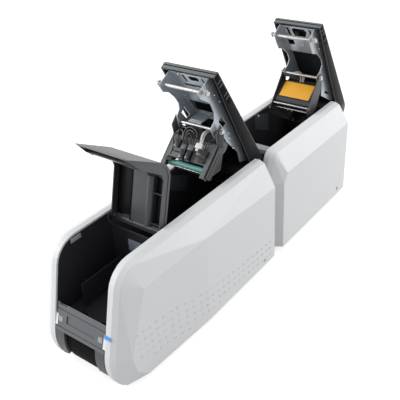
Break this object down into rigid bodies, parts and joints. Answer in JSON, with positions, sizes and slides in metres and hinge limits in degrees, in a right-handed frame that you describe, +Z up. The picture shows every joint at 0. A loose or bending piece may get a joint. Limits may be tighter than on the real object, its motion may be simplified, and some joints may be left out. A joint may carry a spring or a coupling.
{
  "type": "card printer with laminator",
  "caption": "Desktop card printer with a laminator module behind it, two hinged top covers, a hinged card hopper cover, card path rollers, print head and heater.",
  "frame": {"origin": "centre of the underside of the middle rubber pad, on the desk", "axes": "+X to the right seen from the hopper end, +Y from the hopper towards the laminator, +Z up"},
  "size_m": [0.173, 0.7263, 0.3678],
  "materials": {
    "panel_white": "fine grain moulded plastic",
    "core_black": "dark moulded plastic",
    "rubber_black": "matt rubber",
    "bar_grey": "grey moulded plastic",
    "deck_grey": "grey moulded plastic",
    "steel": "turned bright steel",
    "zinc": "zinc plated sheet",
    "cover_grey": "dark grey moulded plastic",
    "hopper_grey": "dark grey moulded plastic",
    "moulded_black": "smooth black plastic",
    "blue_film": "thin blue film",
    "board_green": "solder mask",
    "teal_rubber": "smooth teal rubber",
    "sticky_blue": "tacky blue rubber",
    "wire_grey": "wire sleeve"
  },
  "bodies": {
    "housing": {"printer_frame": "core_black", "laminator_frame": "core_black", "base_plates": "core_black", "rubber_feet": "rubber_black", "printer_panel_right": "panel_white", "printer_panel_left": "panel_white", "laminator_panel_right": "panel_white", "laminator_panel_left": "panel_white", "panel_screws": "steel", "front_bar": "bar_grey", "front_legs": "bar_grey", "front_skirt": "core_black", "light_strips": "panel_white", "film_tab": "blue_film", "hopper_tray": "core_black", "top_deck": "deck_grey", "printer_deck": "core_black", "laminator_deck": "core_black", "rear_panel": "core_black", "power_inlet": "moulded_black", "data_port": "steel", "main_board": "board_green", "printer_motor": "zinc", "laminator_motor": "zinc", "drive_belts": "rubber_black", "hinge_pins": "steel"},
    "hopper_lid": {"hopper_cover": "hopper_grey"},
    "printer_lid": {"printer_cover": "cover_grey", "cover_bracket": "zinc", "cross_plate": "zinc", "pivot_shaft": "steel", "ribbon_motor": "moulded_black"},
    "printer_latch": {"latch_shaft": "steel"},
    "head_unit": {"head_carrier": "core_black", "print_head": "moulded_black", "guide_bar": "steel", "cable_duct": "rubber_black", "head_cables": "rubber_black"},
    "head_guide": {"guide_roller": "teal_rubber"},
    "laminator_lid": {"laminator_cover": "cover_grey", "laminator_bracket": "zinc", "laminator_pivot": "steel"},
    "laminator_catch": {"laminator_latch": "steel"},
    "heater_unit": {"heater_housing": "core_black", "heater_bars": "steel", "heater_wires": "wire_grey"},
    "left_button": {"button_left": "panel_white"},
    "right_button": {"button_right": "panel_white"},
    "gate": {"gate_lever": "bar_grey"},
    "rocker": {"power_switch": "moulded_black"},
    "pick_roller_body": {"pick_roller": "rubber_black"},
    "feed_roller_body": {"feed_roller": "rubber_black"},
    "platen_roller_body": {"platen_roller": "rubber_black"},
    "exit_roller_body": {"exit_roller": "rubber_black"},
    "entry_roller_body": {"entry_roller": "rubber_black"},
    "press_roller_body": {"press_roller": "rubber_black"},
    "outlet_roller_body": {"outlet_roller": "rubber_black"},
    "cleaning_roller_body": {"cleaning_roller": "sticky_blue"},
    "motor_pulley_body": {"motor_pulley": "steel"},
    "laminator_pulley_body": {"laminator_pulley": "steel"}
  },
  "joints": [
    {"name": "hopper_cover_hinge", "type": "hinge", "parent": "housing", "child": "hopper_lid", "pos_m": [0, -0.187, 0.183], "axis": [1, 0, 0], "range_deg": [0, 105]},
    {"name": "printer_cover_hinge", "type": "hinge", "parent": "housing", "child": "printer_lid", "pos_m": [0, 0.054, 0.158], "axis": [1, 0, 0], "range_deg": [0, 57.5]},
    {"name": "printer_latch_turn", "type": "hinge", "parent": "printer_lid", "child": "printer_latch", "pos_m": [0, -0.06436, 0.34285], "axis": [1, 0, 0], "range_deg": [0, 20], "stiffness_Nm_per_rad": 0.05},
    {"name": "head_float", "type": "hinge", "parent": "printer_lid", "child": "head_unit", "pos_m": [0, -0.03295, 0.27215], "axis": [1, 0, 0], "range_deg": [-3, 0], "stiffness_Nm_per_rad": 6, "springref_deg": 3.44},
    {"name": "guide_roller_turn", "type": "hinge", "parent": "head_unit", "child": "head_guide", "pos_m": [0, -0.06706, 0.2196], "axis": [1, 0, 0], "continuous": true},
    {"name": "laminator_cover_hinge", "type": "hinge", "parent": "housing", "child": "laminator_lid", "pos_m": [0, 0.345, 0.127], "axis": [1, 0, 0], "range_deg": [0, 58]},
    {"name": "laminator_latch_turn", "type": "hinge", "parent": "laminator_lid", "child": "laminator_catch", "pos_m": [0, 0.25714, 0.32799], "axis": [1, 0, 0], "range_deg": [0, 20], "stiffness_Nm_per_rad": 0.05},
    {"name": "heater_float", "type": "hinge", "parent": "laminator_lid", "child": "heater_unit", "pos_m": [0, 0.29223, 0.24732], "axis": [1, 0, 0], "range_deg": [-3, 0], "stiffness_Nm_per_rad": 6, "springref_deg": 3.44},
    {"name": "left_button_press", "type": "slide", "parent": "housing", "child": "left_button", "axis": [0, 0.9461, -0.3239], "range_m": [0, 0.0015], "stiffness_N_per_m": 300},
    {"name": "right_button_press", "type": "slide", "parent": "housing", "child": "right_button", "axis": [0, 0.9461, -0.3239], "range_m": [0, 0.0015], "stiffness_N_per_m": 300},
    {"name": "gate_slide", "type": "slide", "parent": "housing", "child": "gate", "axis": [0, 0, 1], "range_m": [0, 0.004]},
    {"name": "rocker_tilt", "type": "hinge", "parent": "housing", "child": "rocker", "pos_m": [0, 0.348, 0.046], "axis": [-1, 0, 0], "range_deg": [0, 10]},
    {"name": "platen_turn", "type": "hinge", "parent": "housing", "child": "platen_roller_body", "pos_m": [0, -0.04799, 0.07335], "axis": [1, 0, 0], "continuous": true},
    {"name": "pick_turn", "type": "hinge", "parent": "housing", "child": "pick_roller_body", "pos_m": [0, -0.215, 0.07335], "axis": [1, 0, 0], "continuous": true},
    {"name": "feed_turn", "type": "hinge", "parent": "housing", "child": "feed_roller_body", "pos_m": [0, -0.15002, 0.07335], "axis": [1, 0, 0], "continuous": true},
    {"name": "exit_turn", "type": "hinge", "parent": "housing", "child": "exit_roller_body", "pos_m": [0, 0.02002, 0.07335], "axis": [1, 0, 0], "continuous": true},
    {"name": "press_turn", "type": "hinge", "parent": "housing", "child": "press_roller_body", "pos_m": [0, 0.24201, 0.07335], "axis": [1, 0, 0], "continuous": true},
    {"name": "entry_turn", "type": "hinge", "parent": "housing", "child": "entry_roller_body", "pos_m": [0, 0.14999, 0.07335], "axis": [1, 0, 0], "continuous": true},
    {"name": "outlet_turn", "type": "hinge", "parent": "housing", "child": "outlet_roller_body", "pos_m": [0, 0.30671, 0.07335], "axis": [1, 0, 0], "continuous": true},
    {"name": "cleaning_turn", "type": "hinge", "parent": "housing", "child": "cleaning_roller_body", "pos_m": [0, -0.15002, 0.0904], "axis": [1, 0, 0], "continuous": true},
    {"name": "motor_pulley_turn", "type": "hinge", "parent": "housing", "child": "motor_pulley_body", "pos_m": [0, -0.09998, 0.07335], "axis": [1, 0, 0], "continuous": true},
    {"name": "laminator_pulley_turn", "type": "hinge", "parent": "housing", "child": "laminator_pulley_body", "pos_m": [0, 0.18999, 0.07335], "axis": [1, 0, 0], "continuous": true}
  ],
  "couplings": [
    {"joint": "pick_turn", "follows": "platen_turn", "ratio": 1},
    {"joint": "feed_turn", "follows": "platen_turn", "ratio": 1},
    {"joint": "exit_turn", "follows": "platen_turn", "ratio": 1},
    {"joint": "motor_pulley_turn", "follows": "platen_turn", "ratio": 1},
    {"joint": "cleaning_turn", "follows": "platen_turn", "ratio": -1.6667},
    {"joint": "entry_turn", "follows": "press_turn", "ratio": 1},
    {"joint": "outlet_turn", "follows": "press_turn", "ratio": 1},
    {"joint": "laminator_pulley_turn", "follows": "press_turn", "ratio": 1}
  ]
}
